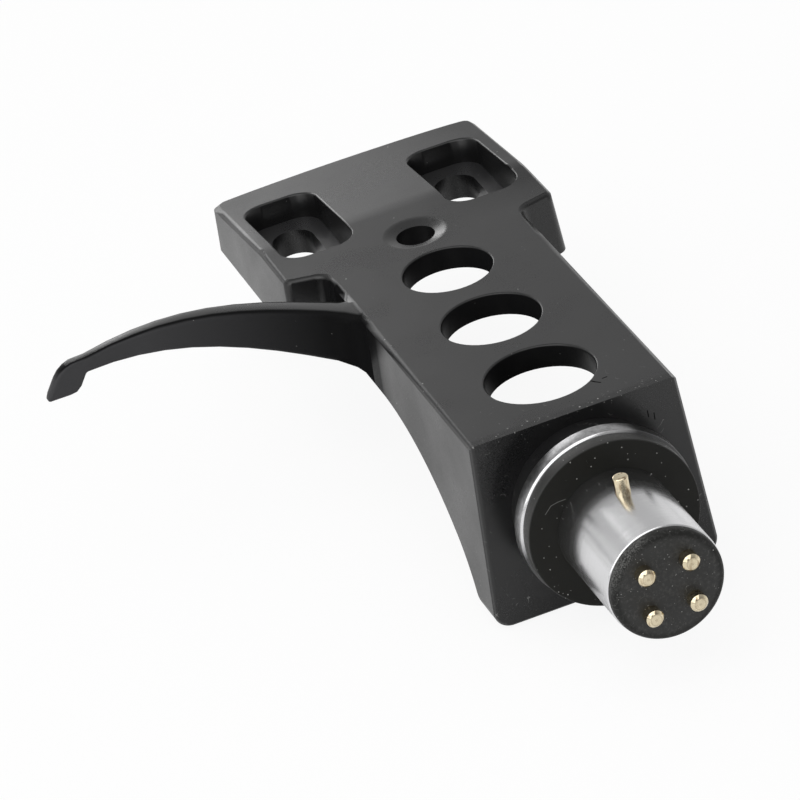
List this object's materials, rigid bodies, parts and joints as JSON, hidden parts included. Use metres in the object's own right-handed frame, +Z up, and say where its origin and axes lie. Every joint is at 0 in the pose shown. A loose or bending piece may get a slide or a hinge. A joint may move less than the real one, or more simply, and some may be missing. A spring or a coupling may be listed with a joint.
{
  "type": "turntable headshell",
  "caption": "Turntable headshell with a bayonet connector, lightening holes along its neck, slots for the cartridge and a curved finger lift.",
  "frame": {"origin": "on the connector's axis, in the plane of the washer's outer face, where the arm's collet stops", "axes": "+Y from the connector to the cartridge end, +Z up through the shell's top, the finger lift points to -X"},
  "size_m": [0.04, 0.0639, 0.0168],
  "materials": {
    "shell": "satin black paint on a die-cast alloy",
    "barrel": "satin, turned",
    "washer": "smooth black",
    "plug": "matt black",
    "contacts": "thin pale gold plate, polished"
  },
  "bodies": {
    "root": {"shell": "shell", "connector_barrel": "barrel", "washer": "washer", "insulator_plug": "plug", "locating_pin": "contacts", "contact_pin_upper_left": "contacts", "contact_pin_upper_right": "contacts", "contact_pin_lower_left": "contacts", "contact_pin_lower_right": "contacts"}
  },
  "joints": []
}
